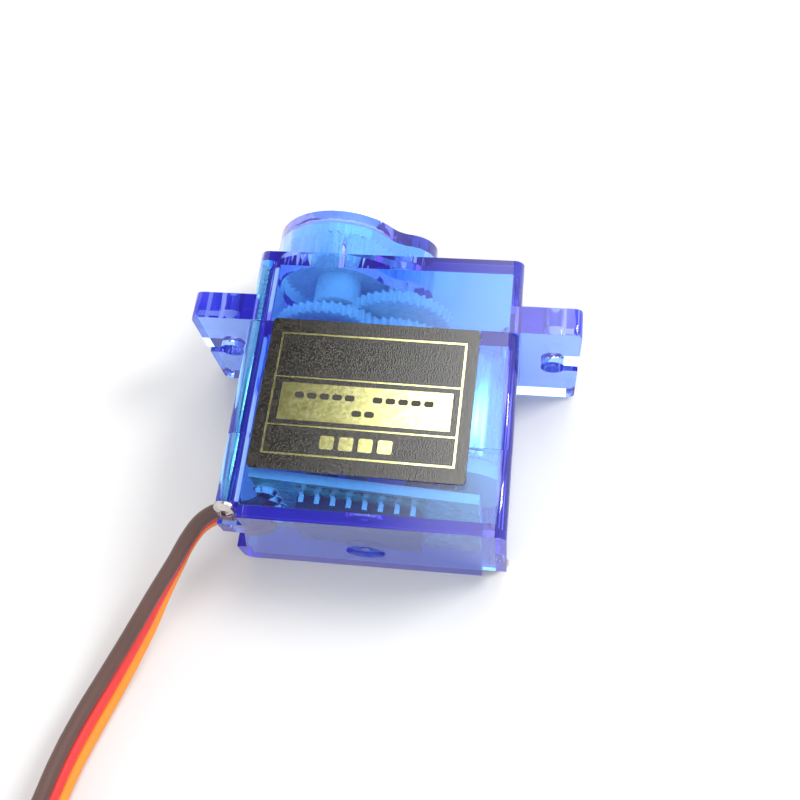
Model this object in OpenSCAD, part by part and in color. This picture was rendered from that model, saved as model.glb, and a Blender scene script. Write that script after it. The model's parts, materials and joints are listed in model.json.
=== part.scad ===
// Micro hobby servo motor: clear three-part case, brushed motor, four-stage gear train,
// position potentiometer, control board and a three-wire lead.
// Sub-parts are written upright: x along the case, z from the bottom face along the output shaft.
// lay_down() then sets the servo on its wide side, with the label up and the shaft along +Y.

/* [Case] */
// Length of the case, without its ears
case_l = 22.2; // [22.0:0.1:22.4]
// Width of the case, from wide side to wide side
case_w = 11.8; // [11.7:0.1:12.0]
// Height of the case, bottom face to roof
case_h = 23.3; // [23.1:0.1:23.3]
// Wall thickness of the shells
wall = 0.9; // [0.8:0.05:0.9]
// Thickness of the roof and of the gear deck
roof = 1; // [0.9:0.05:1.1]
// Thickness of the bottom cover's floor
floor_t = 1.2; // [1:0.1:1.3]
// Radius of the case's upright edges
corner_r = 0.9; // [0.8:0.05:1.2]
// Height of the seam between bottom cover and middle case
low_seam = 6.8; // [6.5:0.1:7]
// Height of the seam between middle case and upper case
high_seam = 16.7; // [16.6:0.05:16.8]

/* [Ears and turret] */
// Length over both mounting ears
ears_l = 31.9; // [31.8:0.1:33]
// Thickness of the ears
ear_t = 2.4; // [2:0.1:2.6]
// Distance between the two mounting holes
ear_pitch = 27.7; // [27:0.1:28]
// Radius of a mounting hole
ear_hole_r = 1; // [0.9:0.05:1.1]
// Width of the slit from a mounting hole to the end of its ear
ear_slit = 0.9; // [0.6:0.1:1.2]
// Height of the turret's top over the bottom face
turret_top = 27.6; // [27.5:0.1:27.8]
// Radius of the bump beside the turret
bump_r = 2.6; // [2.3:0.05:2.6]
// Radius of the hollow blend between turret and bump
blend_r = 2.5; // [2:0.1:3]

/* [Gears] */
// Gear module
gear_m = 0.22; // [0.22:0.001:0.221]
// Thickness of the large wheels inside the case
wheel_t = 1; // [0.9:0.05:1]
// Radius of the steel pin and of the motor shaft
pin_r = 0.5; // [0.45:0.01:0.5]
// Radius of the potentiometer shaft
pot_shaft_r = 0.8; // [0.75:0.01:0.8]
// Radial clearance of a part that turns on a shaft
fit = 0.04; // [0.02:0.01:0.06]

/* [Output] */
// Top of the output spline over the bottom face
output_top = 31; // [30.5:0.1:31.2]
// Radius over the spline's teeth
spline_r = 2.35; // [2.3:0.05:2.4]
// Number of spline teeth
spline_z = 21; // [20:1:25]
// Radius of the smooth collar in the turret's hole
collar_r = 2.9; // [2.7:0.05:2.9]
// Radius of the hole for the horn's screw
horn_hole_r = 0.85; // [0.8:0.05:0.95]
// Depth of the hole for the horn's screw
horn_hole_h = 5; // [4:0.5:5]

/* [Motor and potentiometer] */
// Radius of the motor can's round sides
motor_r = 4.9; // [4.8:0.05:4.9]
// Distance between the motor can's flats
motor_flats = 7.3; // [7.2:0.05:7.4]
// Height of the motor can's open end
motor_low = 6.4; // [6.2:0.1:6.5]
// Radius of the potentiometer
pot_r = 4.7; // [4.5:0.05:4.7]
// Height of the potentiometer's underside
pot_low = 12.6; // [12.4:0.1:12.8]

/* [Circuit board] */
// Height of the board's middle plane
board_mid = 3.45; // [3.45:0.05:3.6]
// Thickness of the board
board_t = 0.8; // [0.7:0.05:0.8]
// Lean of the board along the case, in degrees
board_lean = 3; // [0:0.5:3]
// Height of the lead's wires where they go through the wall
lead_h = 2.1; // [2.05:0.05:2.15]

/* [Lead] */
// Diameter of one insulated wire
wire_d = 1.2; // [1.1:0.05:1.2]

/* [Hidden] */
$fn = 64;
eps = 0.01;

// Numbers of gear teeth: large wheels, third gear's wheel, pinions on the steel pin,
// second gear's pinion and motor pinion, with their pressure angle and play.
// Pairs on the same two shafts add up to the same sum.
pressure = 25;
backlash = 0.02;
wheel_z = 42;
third_z = 40;
pinion_z = 11;
second_pinion_z = 13;
motor_z = 10;

// Places of the three shafts along the case; all lie in its middle plane
turret_r = case_w / 2 - 0.05;
output_x = (case_w - case_l) / 2;
stage_c = gear_m * (wheel_z + pinion_z) / 2;
motor_c = gear_m * (wheel_z + motor_z) / 2;
pin_x = output_x + stage_c;
motor_x = pin_x + motor_c;

// Heights of the gear layers over the bottom face
layer_gap = 0.25;
first_low = high_seam + 0.3;
second_low = first_low + wheel_t + layer_gap;
third_low = second_low + wheel_t + 0.4;
third_pinion_low = third_low + wheel_t;
second_pinion_top = third_pinion_low + 0.2;
hub_low = second_pinion_top + 0.3;
output_wheel_low = case_h + 0.4;
output_wheel_t = 2.3;
collar_low = output_wheel_low + output_wheel_t;
third_pinion_top = collar_low + 0.3;
output_hub_r = 2;
pot_shaft_top = output_wheel_low - 0.2;
pot_flat = 0.45;

// Case screws: one on each of two opposite corners
screw_x = case_l / 2 - 0.85;
screw_y = case_w / 2 - 0.98;
screw_notch = 2.05;
screw_head_low = 0.3;
screw_head_h = 0.95;
screw_head_r = 0.95;
screw_dome_r = 1.1;
screw_cross = [1.25, 0.34, 1];
screw_seat = screw_head_low + screw_head_h;
screw_r = 0.6;
thread_step = 0.45;
thread_turns = 12;
post_r = 1;

// Motor inside
can_t = 0.35;
can_top = high_seam - roof;
boss_r = 1.6;
boss_top = high_seam - 0.1;
front_bearing_r = 1.15;
rear_bearing_r = 1;
cap_low = motor_low - 1.2;
rotor_r = 3.1;
arm_w = 0.9;
winding_x = 1.77;
rotor_low = 9.2;
rotor_top = 14.2;
commutator_r = 1.15;
commutator_low = 6.9;
commutator_top = 8.5;
terminal_y = 3;

// Potentiometer inside
pot_top = can_top;
pot_floor = 0.5;
track_low = pot_low + pot_floor;
track_t = 0.1;

// Board and what it carries
board_l = 17.8;
board_w = 9.7;
chip_x = -0.6;
chip_l = 9.9;
chip_w = 3.9;
chip_h = 1.3;
chip_off = 0.12;
leg_pitch = 1.27;
leg_count = 8;
thin_wire_r = 0.35;
tail_end_x = -8.1;
motor_wire_end_x = 3.2;
pot_wire_end_x = output_x + 0.4;
pot_wire_pitch = 2;
solder_r = 0.35;

// Label on the wide side
label_l = 16.8;
label_h = 12.9;
label_t = 0.1;
label_turn = 0.9;
label_mid = [-0.5, 10.35];
label_corner = 0.35;

// Moulding mark in the bottom face
dimple_at = [-0.15, 1.2];
dimple_r = 1.6;
dimple_h = 0.45;

// Lead: route of the middle wire on the surface, each point with the lean of the ribbon in
// degrees (90 stands on edge) and the distance between neighbouring wires
lay_y = output_top / 2;
lead_start_x = -case_l / 2;
// Opening of the bottom face under the wires, narrower towards the resting side
lead_mouth = [[-12, -1.85], [-9.4, -1.7], [-10.3, 2.5], [-12, 2.6]];
lead_route = [
    [-11.1, -13.4, 5.9, 90, 1.2], [-12.4, -13.6, 5.8, 82, 1.2], [-13.6, -14.3, 5.6, 76, 1.2],
    [-14.5, -15.5, 5.3, 74, 1.2], [-15.6, -17.8, 4.6, 77, 1.2], [-16.6, -19.9, 3.9, 84, 1.2],
    [-17.6, -22.1, 3.1, 92, 1.24], [-18.7, -24.5, 2.4, 98, 1.24], [-19.9, -27.2, 1.9, 103, 1.24],
    [-21.1, -30.3, 1.8, 106, 1.24], [-22.1, -33.4, 1.8, 104, 1.24], [-22.9, -36.8, 1.8, 101, 1.24],
    [-23.9, -40.4, 1.8, 99, 1.24], [-25.3, -44.2, 1.9, 97, 1.24], [-26.8, -47.8, 1.9, 95, 1.24],
    [-28.2, -51.3, 2, 92, 1.2], [-29.2, -54.6, 2.1, 90, 1.2], [-29.5, -57.5, 2.1, 90, 1.2]
];
// Coil that the lead is put away in: turns, radius of the outer turn, distance from turn to turn
coil_mid = [-14.2, -57.5];
coil_lift = 0.3;
coil_turns = 2.25;
coil_r = 15.3;
coil_step = 1.3;
coil_slack = 0.1;
coil_in = coil_r - coil_turns * coil_step - wire_d / 2 - coil_slack;
coil_out = coil_r + wire_d / 2 + coil_slack;
coil_top = coil_lift + 3 * wire_d;
// From the coil's inner turn to the connector, measured from the coil's middle
end_route = [
    [0, -12.4, 2.1, 90, 1.2], [1.3, -12.2, 2.05, 80, 1.2], [2.5, -11.7, 1.95, 66, 1.3],
    [3.5, -10.9, 1.75, 48, 1.5], [4.2, -9.8, 1.5, 28, 1.9], [4.5, -8.6, 1.3, 10, 2.35],
    [4.5, -7.3, 1.25, 0, 2.54]
];
plug_at = [4.5, -7.3];
plug_l = 14;
plug_w = 7.6;
plug_h = 2.5;
plug_pitch = 2.54;
contact_w = 1.5;
tie_w = 3;
tie_t = 0.3;

// ---------- helpers ----------

// Puts upright geometry on its wide side, with its middle over the origin
module lay_down() {
    translate([0, -lay_y, case_w / 2])
        rotate([-90, 0, 0])
            children();
}

// Board geometry: z from the board's middle plane, leaning with the board
module on_board() {
    translate([0, 0, board_mid])
        rotate([0, board_lean, 0])
            children();
}

// Height of the board's face on its upper (1) or lower (-1) side at place x
function board_face(x, side) =
    board_mid + side * board_t / 2 / cos(board_lean) - x * tan(board_lean);

module rounded_plate(l, w, r) {
    square([l - 2 * r, w], center = true);
    square([l, w - 2 * r], center = true);
    for (sx = [-1, 1], sy = [-1, 1])
        translate([sx * (l / 2 - r), sy * (w / 2 - r)])
            circle(r);
}

// The two corners that hold a screw
module at_screws() {
    for (s = [-1, 1])
        translate([s * screw_x, s * screw_y])
            children();
}

// Inside of the shells, with the screw posts left standing
module cavity_plan() {
    difference() {
        square([case_l - 2 * wall, case_w - 2 * wall], center = true);
        at_screws()
            circle(post_r);
    }
}

module slab(low, high) {
    translate([0, 0, low])
        linear_extrude(high - low)
            children();
}

module rod(r, low, high) {
    translate([0, 0, low])
        cylinder(r = r, h = high - low);
}

// Gear teeth: points on each flank at the root, the pitch circle and the tip
function involute(a) = tan(a) * 180 / PI - a;
function flank_angle(z, r) =
    let (pitch = gear_m * z / 2, base = pitch * cos(pressure), at = max(r, base))
    90 / z + involute(pressure) - involute(acos(base / at)) - backlash / pitch * 180 / PI;
function gear_points(z, phase) =
    let (
        pitch = gear_m * z / 2,
        root = pitch - gear_m,
        tip = pitch + 0.8 * gear_m,
        radii = [root, pitch, tip, tip, pitch, root],
        sides = [-1, -1, -1, 1, 1, 1]
    )
    [
        for (i = [0 : z - 1], k = [0 : 5])
            let (a = phase + 360 * i / z + sides[k] * flank_angle(z, radii[k]))
            [radii[k] * cos(a), radii[k] * sin(a)]
    ];

// phase 0 puts a tooth on the +x side; a whole number of half teeth keeps neighbours in mesh
module toothed(z, phase, low, high) {
    translate([0, 0, low])
        linear_extrude(high - low)
            polygon(gear_points(z, phase));
}

// Tube through points: one ring of sides round every point, closed at both ends
function unit(v) = v / norm(v);
function heading(pts, i) =
    unit(pts[min(i + 1, len(pts) - 1)] - pts[max(i - 1, 0)]);
function across(h) = abs(h.z) > 0.9 ? unit(cross([1, 0, 0], h)) : unit(cross([0, 0, 1], h));
function ring(p, h, r, sides) =
    let (a = across(h), b = cross(h, a))
    [for (k = [0 : sides - 1]) p + r * (cos(360 * k / sides) * a + sin(360 * k / sides) * b)];
module tube(pts, r, sides, start = undef, end = undef) {
    n = len(pts);
    heads = [
        for (i = [0 : n - 1])
            i == 0 && !is_undef(start) ? start : i == n - 1 && !is_undef(end) ? end : heading(pts, i)
    ];
    rings = [for (i = [0 : n - 1]) ring(pts[i], heads[i], r, sides)];
    polyhedron(
        points = [for (one = rings) each one],
        faces = concat(
            [[for (k = [0 : sides - 1]) sides - 1 - k]],
            [[for (k = [0 : sides - 1]) (n - 1) * sides + k]],
            [
                for (i = [0 : n - 2], k = [0 : sides - 1], half = [0, 1])
                    let (a = i * sides + k, b = i * sides + (k + 1) % sides)
                    half == 0 ? [a, b, b + sides] : [a, b + sides, a + sides]
            ]
        )
    );
}

// Route of one wire of the ribbon: side 1 is brown, 0 red, -1 orange
function ribbon(route, side) = [
    for (i = [0 : len(route) - 1])
        let (
            here = [route[i][0], route[i][1], route[i][2]],
            flat = [
                route[min(i + 1, len(route) - 1)][0] - route[max(i - 1, 0)][0],
                route[min(i + 1, len(route) - 1)][1] - route[max(i - 1, 0)][1],
                0
            ],
            left = unit([-flat.y, flat.x, 0]),
            lean = route[i][3],
            off = side * route[i][4]
        )
        here + off * (cos(lean) * left + sin(lean) * [0, 0, 1])
];

// ---------- case ----------

// Round turret and bump with hollow blends between them; the blends cut in a trace too deep,
// so that they cross the two circles and don't only touch them
module turret_plan(turret, bump, blend) {
    blend_over = 0.005;
    c = [turret + blend, bump + blend];
    a = acos((stage_c * stage_c + c[0] * c[0] - c[1] * c[1]) / (2 * stage_c * c[0]));
    translate([output_x, 0]) {
        circle(turret, $fn = 96);
        translate([stage_c, 0])
            circle(bump);
        difference() {
            polygon([[0, 0], c[0] * [cos(a), -sin(a)], [stage_c, 0], c[0] * [cos(a), sin(a)]]);
            for (s = [-1, 1])
                translate(c[0] * [cos(a), s * sin(a)])
                    circle(blend + blend_over);
        }
    }
}

module ear_plan() {
    rounded_plate(ears_l, case_w, 0.7);
}

module upper_case() {
    color([0.25, 0.5, 1, 0.5])
        lay_down()
            difference() {
                union() {
                    slab(high_seam, case_h)
                        rounded_plate(case_l, case_w, corner_r);
                    slab(high_seam, high_seam + ear_t)
                        ear_plan();
                    slab(case_h - eps, turret_top)
                        turret_plan(turret_r, bump_r, blend_r);
                }
                slab(high_seam - 1, case_h - roof)
                    cavity_plan();
                slab(case_h - roof - eps, turret_top - roof)
                    turret_plan(turret_r - wall + 0.1, bump_r - wall + 0.1, blend_r + wall);
                translate([output_x, 0])
                    rod(collar_r + fit, turret_top - roof - eps, turret_top + 1);
                translate([pin_x, 0])
                    rod(pin_r, turret_top - roof - eps, turret_top - 0.6);
                at_screws()
                    rod(screw_r + 0.02, high_seam - 1, case_h - 0.8);
                for (s = [-1, 1]) {
                    translate([s * ear_pitch / 2, 0])
                        rod(ear_hole_r, high_seam - 1, high_seam + ear_t + 1);
                    translate([s * (ear_pitch / 2 + 2), 0, high_seam])
                        cube([4, ear_slit, 3 * ear_t], center = true);
                }
            }
}

module middle_case() {
    color([0.25, 0.5, 1, 0.5])
        lay_down()
            difference() {
                slab(low_seam, high_seam)
                    rounded_plate(case_l, case_w, corner_r);
                slab(low_seam - 1, can_top)
                    cavity_plan();
                translate([output_x, 0])
                    rod(pot_shaft_r + 0.35, can_top - eps, high_seam + 1);
                translate([motor_x, 0])
                    rod(boss_r + 0.02, can_top - eps, high_seam + 1);
                translate([pin_x, 0])
                    rod(pin_r, high_seam - 0.8, high_seam + 1);
                at_screws()
                    rod(screw_r + 0.05, low_seam - 1, high_seam + 1);
            }
}

module bottom_cover() {
    color([0.25, 0.5, 1, 0.5])
        lay_down()
            difference() {
                slab(0, low_seam)
                    rounded_plate(case_l, case_w, corner_r);
                slab(floor_t, low_seam + 1)
                    cavity_plan();
                at_screws()
                    rod(screw_r + 0.05, screw_seat - eps, low_seam + 1);
                for (s = [-1, 1])
                    translate([s * case_l / 2, s * case_w / 2, 0])
                        cube([2 * screw_notch, 2 * screw_notch, 2 * screw_seat], center = true);
                translate([dimple_at.x, dimple_at.y])
                    difference() {
                        rod(dimple_r, -1, dimple_h);
                        rod(0.4, dimple_h - 0.25, dimple_h);
                    }
                translate([lead_start_x, 0, lead_h])
                    cube([4 * wall, 3 * wire_d + 0.1, wire_d + 0.1], center = true);
                slab(-1, lead_h)
                    polygon(lead_mouth);
            }
}

module case_screws() {
    zigzag = [
        for (i = [0 : thread_turns - 1], k = [0, 1])
            [k == 0 ? screw_r - 0.13 : screw_r, high_seam + (i + k / 2) * thread_step]
    ];
    tip = high_seam + thread_turns * thread_step - 0.1;
    color("silver")
        lay_down()
            at_screws()
                difference() {
                    union() {
                        intersection() {
                            rod(screw_head_r, screw_head_low, screw_seat);
                            translate([0, 0, screw_head_low + screw_dome_r])
                                sphere(screw_dome_r);
                        }
                        rod(screw_r - 0.13, screw_seat - eps, high_seam);
                        rotate_extrude($fn = 24)
                            polygon(concat([[0, high_seam - eps]], zigzag, [[screw_r / 2, tip], [0, tip]]));
                    }
                    for (a = [0, 90])
                        rotate(a)
                            translate([0, 0, screw_head_low])
                                cube(screw_cross, center = true);
                }
}

module label() {
    color([0.15, 0.13, 0.08])
        lay_down()
            translate([label_mid.x, -case_w / 2, label_mid.y])
                rotate([90, label_turn, 0])
                    linear_extrude(label_t)
                        rounded_plate(label_l, label_h, label_corner);
}

module gear_pin() {
    color("silver")
        lay_down()
            translate([pin_x, 0])
                rod(pin_r, high_seam - 0.8, turret_top - 0.6);
}

// ---------- motor ----------

module can_plan(r, flats) {
    intersection() {
        circle(r);
        square([flats, 3 * r], center = true);
    }
}

module at_motor() {
    lay_down()
        translate([motor_x, 0])
            children();
}

module motor_can() {
    color("lightgray")
        at_motor()
            difference() {
                union() {
                    slab(motor_low, can_top)
                        can_plan(motor_r, motor_flats);
                    rod(boss_r, can_top - eps, boss_top);
                }
                slab(motor_low - 1, can_top - can_t)
                    can_plan(motor_r - can_t, motor_flats - 2 * can_t);
                rod(front_bearing_r, can_top - 1, boss_top + 1);
            }
}

module motor_end_cap() {
    color("white")
        at_motor()
            difference() {
                slab(cap_low, motor_low)
                    can_plan(motor_r, motor_flats);
                rod(rear_bearing_r, cap_low + 0.4, motor_low + 1);
                for (s = [-1, 1])
                    translate([-2, s * (commutator_r + 0.2), motor_low])
                        cube([0.5, 0.3, 1], center = true);
            }
}

module bearing_ring(r, low, high) {
    at_motor()
        difference() {
            rod(r, low, high);
            rod(pin_r + fit, low - 1, high + 1);
        }
}

module motor_bearing_front() {
    color("goldenrod")
        bearing_ring(front_bearing_r, can_top - can_t, boss_top);
}

module motor_bearing_rear() {
    color("goldenrod")
        bearing_ring(rear_bearing_r, cap_low + 0.4, motor_low);
}

// Two arc magnets against the round sides of the can
module motor_magnets() {
    color([0.2, 0.2, 0.22])
        at_motor()
            slab(rotor_low - 0.3, rotor_top + 0.3)
                for (s = [-1, 1])
                    intersection() {
                        difference() {
                            circle(motor_r - can_t);
                            circle(rotor_r + 0.25);
                        }
                        translate([0, s * motor_r])
                            square([5.4, 2 * motor_r - 4], center = true);
                    }
}

// Leaf brushes on both sides of the commutator, each with its foot in the end cap
module motor_brushes() {
    color("goldenrod")
        at_motor()
            for (s = [-1, 1])
                translate([0, s * (commutator_r + 0.13), 0]) {
                    translate([-0.8, 0, commutator_low + 0.8])
                        cube([2.8, 0.15, 0.7], center = true);
                    translate([-2, 0, motor_low + 0.45])
                        cube([0.4, 0.15, 1.9], center = true);
                }
}

module motor_terminals() {
    color("goldenrod")
        at_motor()
            for (s = [-1, 1])
                translate([0, s * terminal_y, cap_low - 0.5])
                    cube([1.2, 0.3, 1], center = true);
}

module rotor_shaft() {
    color("silver")
        at_motor()
            rod(pin_r, cap_low + 0.45, first_low + wheel_t + 0.3);
}

// A tooth of the pinion meets a gap of the first gear
module motor_pinion() {
    color("goldenrod")
        at_motor()
            difference() {
                toothed(motor_z, 0, boss_top + 0.2, first_low + wheel_t + 0.15);
                rod(pin_r, 0, case_h);
            }
}

module rotor_core() {
    color("dimgray")
        at_motor()
            slab(rotor_low, rotor_top)
                difference() {
                    union() {
                        circle(1.2);
                        for (i = [0 : 2])
                            rotate(120 * i)
                                translate([1.3, 0])
                                    square([2.6, arm_w], center = true);
                        difference() {
                            circle(rotor_r);
                            circle(rotor_r - 0.6);
                            for (i = [0 : 2])
                                rotate(120 * i + 60)
                                    translate([rotor_r, 0])
                                        square([2, 0.8], center = true);
                        }
                    }
                    circle(pin_r);
                }
}

module rotor_windings() {
    color([0.75, 0.35, 0.15])
        at_motor()
            for (i = [0 : 2])
                rotate(120 * i)
                    translate([winding_x, 0, (rotor_low + rotor_top) / 2])
                        difference() {
                            cube([0.95, 1.9, rotor_top - rotor_low + 0.8], center = true);
                            cube([2, arm_w + 0.02, rotor_top - rotor_low + 0.02], center = true);
                        }
}

module commutator() {
    color("peru")
        at_motor()
            slab(commutator_low, commutator_top)
                difference() {
                    circle(commutator_r);
                    circle(pin_r);
                    for (i = [0 : 2])
                        rotate(120 * i)
                            translate([commutator_r, 0])
                                square([0.5, 0.16], center = true);
                }
}

// ---------- gears ----------

function tooth_gap(z) = 180 / z;

module first_gear() {
    color("white")
        lay_down()
            translate([pin_x, 0])
                difference() {
                    union() {
                        toothed(wheel_z, tooth_gap(wheel_z), first_low, first_low + wheel_t);
                        toothed(pinion_z, 180, first_low + wheel_t - eps, third_low - 0.2);
                    }
                    rod(pin_r + fit, 0, case_h);
                }
}

module second_gear() {
    color("white")
        lay_down()
            translate([output_x, 0])
                difference() {
                    union() {
                        toothed(wheel_z, tooth_gap(wheel_z), second_low, second_low + wheel_t);
                        toothed(second_pinion_z, 0, second_low + wheel_t - eps, second_pinion_top);
                    }
                    rod(pot_shaft_r + fit, 0, case_h);
                }
}

module third_gear() {
    color("white")
        lay_down()
            translate([pin_x, 0])
                difference() {
                    union() {
                        toothed(third_z, 180 + tooth_gap(third_z), third_low, third_pinion_low);
                        toothed(pinion_z, 180, third_pinion_low - eps, third_pinion_top);
                    }
                    rod(pin_r + fit, 0, turret_top);
                }
}

// D-shaped end of the potentiometer shaft, which drives or is driven by the output gear
module d_plan(r) {
    difference() {
        circle(r);
        translate([pot_flat + r, 0])
            square(2 * r, center = true);
    }
}

module output_gear() {
    root = spline_r - 0.22;
    color("white")
        lay_down()
            translate([output_x, 0])
                difference() {
                    union() {
                        rod(output_hub_r, hub_low, output_wheel_low + eps);
                        toothed(wheel_z, tooth_gap(wheel_z), output_wheel_low, collar_low);
                        rod(collar_r, collar_low - eps, turret_top);
                        slab(turret_top - eps, output_top)
                            polygon([
                                for (i = [0 : spline_z - 1], k = [0 : 3])
                                    let (
                                        a = (i + [0, 0.38, 0.5, 0.88][k]) * 360 / spline_z,
                                        r = k < 2 ? spline_r : root
                                    )
                                    [r * cos(a), r * sin(a)]
                            ]);
                    }
                    slab(hub_low - 1, pot_shaft_top)
                        d_plan(pot_shaft_r);
                    rod(horn_hole_r, output_top - horn_hole_h, output_top + 1);
                }
}

module pot_shaft() {
    color("white")
        lay_down()
            translate([output_x, 0]) {
                rod(pot_shaft_r, pot_low + 0.3, hub_low - 0.1);
                slab(hub_low - 0.1 - eps, pot_shaft_top)
                    d_plan(pot_shaft_r);
            }
}

// ---------- potentiometer ----------

module pot_body() {
    color("darkslategray")
        lay_down()
            translate([output_x, 0])
                difference() {
                    rod(pot_r, pot_low, pot_top);
                    rod(pot_r - 0.5, track_low, pot_top - 0.4);
                    rod(pot_shaft_r + fit, pot_low + 0.25, pot_top + 1);
                }
}

module pot_track() {
    color([0.1, 0.1, 0.1])
        lay_down()
            translate([output_x, 0])
                slab(track_low, track_low + track_t)
                    difference() {
                        circle(3.6);
                        circle(2.2);
                        translate([-3, 0])
                            square([3, 1.6], center = true);
                    }
}

module pot_wiper() {
    color("goldenrod")
        lay_down()
            translate([output_x, 0])
                difference() {
                    union() {
                        rod(pot_shaft_r + 0.5, track_low + 0.4, track_low + 0.9);
                        translate([1.8, 0, track_low + 0.55])
                            cube([3.2, 0.8, 0.3], center = true);
                        translate([3, 0, track_low + track_t + 0.2])
                            cube([0.6, 0.8, 0.34], center = true);
                    }
                    rod(pot_shaft_r, pot_low, pot_top);
                }
}

module pot_terminals() {
    color("silver")
        lay_down()
            for (k = [-1 : 1])
                translate([output_x, k * pot_wire_pitch, pot_low - 0.9])
                    cube([0.3, 0.8, 1.8], center = true);
}

// ---------- board ----------

module circuit_board() {
    color("seagreen")
        lay_down()
            on_board()
                cube([board_l, board_w, board_t], center = true);
}

module control_chip() {
    color([0.12, 0.12, 0.13])
        lay_down()
            on_board()
                translate([chip_x, 0, -board_t / 2 - chip_off - chip_h / 2])
                    cube([chip_l, chip_w, chip_h], center = true);
}

// Gull-wing legs: out of the body, down and flat on the board
module chip_legs() {
    rise = chip_off + chip_h / 2;
    color("silver")
        lay_down()
            on_board()
                for (i = [0 : leg_count - 1], s = [-1, 1])
                    translate([
                        chip_x + (i - (leg_count - 1) / 2) * leg_pitch, s * chip_w / 2, -board_t / 2
                    ])
                        rotate([90, 0, 90 * s])
                            linear_extrude(0.42, center = true)
                                polygon([
                                    [0, -rise], [0.55, -rise], [0.6, -0.2], [1.1, -0.2], [1.1, 0],
                                    [0.4, 0], [0.35, 0.2 - rise], [0, 0.2 - rise]
                                ]);
}

module chip_capacitors() {
    color("tan")
        lay_down()
            on_board()
                for (p = [[-0.8, -3.4], [-0.8, 3.4], [0.8, 0]])
                    translate([p.x, p.y, board_t / 2 + 0.4])
                        cube([1.6, 0.85, 0.8], center = true);
}

module chip_resistors() {
    color([0.15, 0.15, 0.15])
        lay_down()
            on_board()
                for (p = [[-2.6, -3.4], [-2.6, 3.4], [-1.6, -1.4], [-1.6, 1.4], [5.6, 0]])
                    translate([p.x, p.y, board_t / 2 + 0.225])
                        cube([0.8, 1.4, 0.45], center = true);
}

// Cone of solder round a wire's end; side 1 is the board's upper face
module solder_cone(r, x, y, side) {
    on_board()
        translate([x, y, side * board_t / 2])
            scale([1, 1, side])
                rotate_extrude($fn = 24)
                    polygon([[r + 0.06, 0], [r + solder_r, 0], [r + 0.12, 0.45], [r + 0.06, 0.45]]);
}

module solder_joints() {
    color("gainsboro")
        lay_down() {
            for (k = [-1 : 1])
                solder_cone(wire_d / 2, tail_end_x, k * wire_d * 1.6, -1);
            for (s = [-1, 1])
                solder_cone(thin_wire_r, motor_wire_end_x, s * terminal_y, 1);
            for (k = [-1 : 1])
                solder_cone(thin_wire_r, pot_wire_end_x, k * pot_wire_pitch, 1);
        }
}

// ---------- wires inside ----------

module motor_wire(side) {
    top = board_face(motor_wire_end_x, 1);
    lay_down()
        tube(
            [
                [motor_x - 0.75, side * terminal_y, 4.7], [5, side * terminal_y, 4.85],
                [4.2, side * terminal_y, 4.9], [3.5, side * terminal_y, 4.75],
                [motor_wire_end_x, side * terminal_y, 4.4],
                [motor_wire_end_x, side * terminal_y, top + 0.05]
            ],
            thin_wire_r, 8
        );
}

module motor_wire_red() {
    color("red")
        motor_wire(-1);
}

module motor_wire_black() {
    color("dimgray")
        motor_wire(1);
}

module pot_wires() {
    top = board_face(pot_wire_end_x, 1);
    color("gold")
        lay_down()
            for (k = [-1 : 1])
                tube(
                    [
                        [output_x, k * pot_wire_pitch, pot_low - 1.9],
                        [output_x, k * pot_wire_pitch, 10], [output_x + 0.3, k * pot_wire_pitch, 8.5],
                        [output_x + 0.6, k * pot_wire_pitch, 7],
                        [pot_wire_end_x, k * pot_wire_pitch, 5.4],
                        [pot_wire_end_x, k * pot_wire_pitch, top + 0.05]
                    ],
                    thin_wire_r, 8
                );
}

// side 1 is brown, which is uppermost once the servo lies on its side
module lead_tail(side) {
    y = -side * wire_d;
    end_y = y * 1.6;
    end_h = board_face(tail_end_x, -1) - 0.05;
    lay_down()
        tube(
            [
                [lead_start_x, y, lead_h], [-10.1, y, lead_h], [-9.3, y * 1.2, lead_h + 0.05],
                [-8.6, y * 1.45, lead_h + 0.3], [tail_end_x, end_y, lead_h + 0.8],
                [tail_end_x, end_y, end_h]
            ],
            wire_d / 2, 8, start = [1, 0, 0], end = [0, 0, 1]
        );
}

module lead_tail_brown() {
    color("saddlebrown")
        lead_tail(1);
}

module lead_tail_red() {
    color("red")
        lead_tail(0);
}

module lead_tail_orange() {
    color("orange")
        lead_tail(-1);
}

// ---------- lead outside ----------

module lead_wire(side) {
    tube(ribbon(lead_route, side), wire_d / 2, 8, start = [-1, 0, 0]);
    translate([coil_mid.x, coil_mid.y, 0])
        tube(ribbon(end_route, side), wire_d / 2, 8, end = [0, 1, 0]);
}

module lead_wire_brown() {
    color("saddlebrown")
        lead_wire(1);
}

module lead_wire_red() {
    color("red")
        lead_wire(0);
}

module lead_wire_orange() {
    color("orange")
        lead_wire(-1);
}

module lead_coil() {
    color("indianred")
        translate([coil_mid.x, coil_mid.y, coil_lift])
            rotate_extrude($fn = 96)
                translate([coil_in, 0])
                    square([coil_out - coil_in, 3 * wire_d]);
}

// Band round the whole winding
module coil_tie() {
    gap = 0.15;
    wide = coil_out - coil_in + 2 * gap;
    mid = (coil_out + coil_in) / 2;
    color("white")
        translate([coil_mid.x + mid, coil_mid.y, 0])
            difference() {
                translate([0, 0, (coil_top + tie_t) / 2])
                    cube([wide + 2 * tie_t, tie_w, coil_top + tie_t], center = true);
                translate([0, 0, (coil_top + coil_lift) / 2])
                    cube([wide, tie_w + 1, coil_top - coil_lift], center = true);
            }
}

module at_plug() {
    translate([coil_mid.x + plug_at.x, coil_mid.y + plug_at.y, plug_h / 2])
        children();
}

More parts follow.
